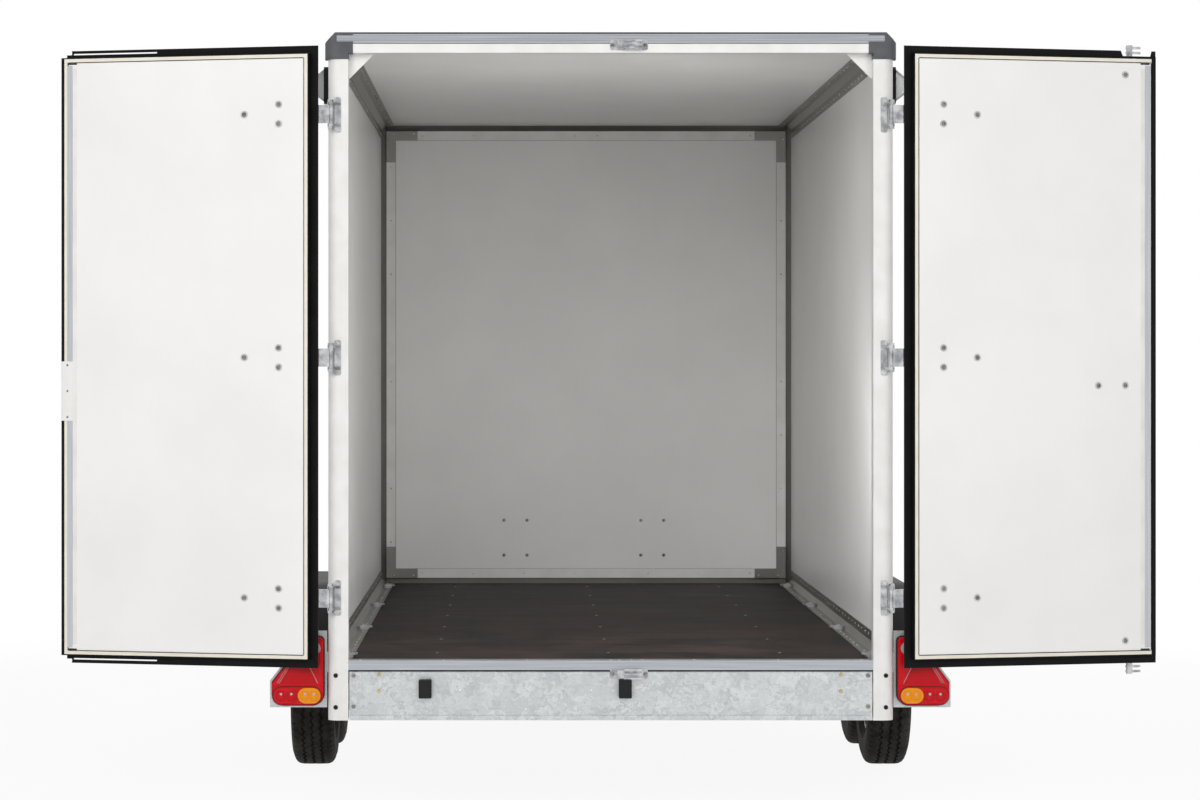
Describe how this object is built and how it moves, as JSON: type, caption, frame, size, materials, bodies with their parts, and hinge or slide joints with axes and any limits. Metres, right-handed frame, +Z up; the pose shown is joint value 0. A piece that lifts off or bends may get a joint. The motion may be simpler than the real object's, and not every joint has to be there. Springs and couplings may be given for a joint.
{
  "type": "enclosed tandem-axle cargo trailer",
  "caption": "White enclosed box trailer on tandem axles with open rear double doors, standing on its jockey wheel, with a V drawbar and overrun ball coupling.",
  "frame": {"origin": "on the ground, in the middle of the whole trailer's length and width", "axes": "+X to the trailer's right, +Y forward to the coupling, +Z up"},
  "size_m": [3.8061, 5.6036, 2.698],
  "materials": {
    "white_panel": "gloss white laminated panel",
    "white_steel": "white painted steel",
    "floor_ply": "dark brown resin-faced plywood",
    "aluminium": "mill-finish extruded aluminium",
    "galvanised": "hot-dip galvanised steel",
    "zinc": "bright zinc plated steel",
    "grey_plastic": "dark grey moulded plastic",
    "black_plastic": "black moulded plastic",
    "coupling_paint": "black painted casting",
    "door_edge": "cream plastic edge profile",
    "seal_rubber": "black rubber seal",
    "lamp_red": "red lamp lens",
    "lamp_amber": "amber lamp lens",
    "lamp_clear": "clear lamp lens",
    "tyre": "black tyre rubber",
    "wheel_silver": "silver painted steel wheel",
    "jack_rubber": "solid rubber wheel"
  },
  "bodies": {
    "root": {"floor_panel": "floor_ply", "roof_panel": "white_panel", "side_wall_left": "white_panel", "side_wall_right": "white_panel", "front_wall": "white_panel", "edge_profiles": "aluminium", "corner_caps": "grey_plastic", "rear_posts": "white_steel", "rear_header": "white_steel", "header_moulding": "aluminium", "rear_sill": "aluminium", "rear_beam": "galvanised", "gussets": "white_steel", "wall_rails": "aluminium", "front_trims": "white_steel", "corner_brackets": "aluminium", "lashing_rings": "galvanised", "chassis_rails": "galvanised", "crossmembers": "galvanised", "drawbar": "galvanised", "overrun_coupling": "coupling_paint", "jack_tube": "galvanised", "axle_rear": "galvanised", "axle_front": "galvanised", "mudguard_left": "black_plastic", "mudguard_right": "black_plastic", "tail_lamp_brackets": "galvanised", "tail_lamp_housings": "black_plastic", "tail_lamps": "lamp_red", "tail_lamp_indicators": "lamp_amber", "tail_lamp_reversing": "lamp_clear", "plate_lamps": "black_plastic", "marker_lamps": "black_plastic", "marker_lenses": "lamp_clear", "hinge_plates": "zinc", "lock_keepers": "zinc"},
    "door_left": {"door_left_panel": "white_panel", "door_left_frame": "door_edge", "door_left_seal": "seal_rubber", "door_left_hinges": "zinc", "door_left_strike": "white_steel"},
    "door_right": {"door_right_panel": "white_panel", "door_right_frame": "door_edge", "door_right_seal": "seal_rubber", "door_right_hinges": "zinc", "lock_rod": "zinc"},
    "wheel_rear_left": {"tyre_rear_left": "tyre", "rim_rear_left": "wheel_silver"},
    "wheel_rear_right": {"tyre_rear_right": "tyre", "rim_rear_right": "wheel_silver"},
    "wheel_front_left": {"tyre_front_left": "tyre", "rim_front_left": "wheel_silver"},
    "wheel_front_right": {"tyre_front_right": "tyre", "rim_front_right": "wheel_silver"},
    "jack_leg": {"jack_leg": "galvanised"},
    "jack_fork": {"jack_fork": "galvanised"},
    "jack_wheel": {"jack_wheel": "jack_rubber"}
  },
  "joints": [
    {"name": "door_right_swing", "type": "hinge", "parent": "root", "child": "door_right", "pos_m": [0.959, -2.778, 1.578], "axis": [0, 0, 1], "range_deg": [-193.5, 3]},
    {"name": "door_left_swing", "type": "hinge", "parent": "root", "child": "door_left", "pos_m": [-0.959, -2.778, 1.578], "axis": [0, 0, -1], "range_deg": [-193.5, 3]},
    {"name": "wheel_rear_left_spin", "type": "hinge", "parent": "root", "child": "wheel_rear_left", "pos_m": [-1.104, -1.2, 0.297], "axis": [1, 0, 0], "continuous": true},
    {"name": "wheel_rear_right_spin", "type": "hinge", "parent": "root", "child": "wheel_rear_right", "pos_m": [1.104, -1.2, 0.297], "axis": [1, 0, 0], "continuous": true},
    {"name": "wheel_front_left_spin", "type": "hinge", "parent": "root", "child": "wheel_front_left", "pos_m": [-1.104, -0.52, 0.297], "axis": [1, 0, 0], "continuous": true},
    {"name": "wheel_front_right_spin", "type": "hinge", "parent": "root", "child": "wheel_front_right", "pos_m": [1.104, -0.52, 0.297], "axis": [1, 0, 0], "continuous": true},
    {"name": "jack_slide", "type": "slide", "parent": "root", "child": "jack_leg", "axis": [0, 0, 1], "range_m": [0, 0.13]},
    {"name": "jack_swivel", "type": "hinge", "parent": "jack_leg", "child": "jack_fork", "pos_m": [-0.244, 1.9, 0.22], "axis": [0, 0, 1], "continuous": true},
    {"name": "jack_wheel_spin", "type": "hinge", "parent": "jack_fork", "child": "jack_wheel", "pos_m": [-0.244, 1.855, 0.1], "axis": [1, 0, 0], "continuous": true}
  ]
}
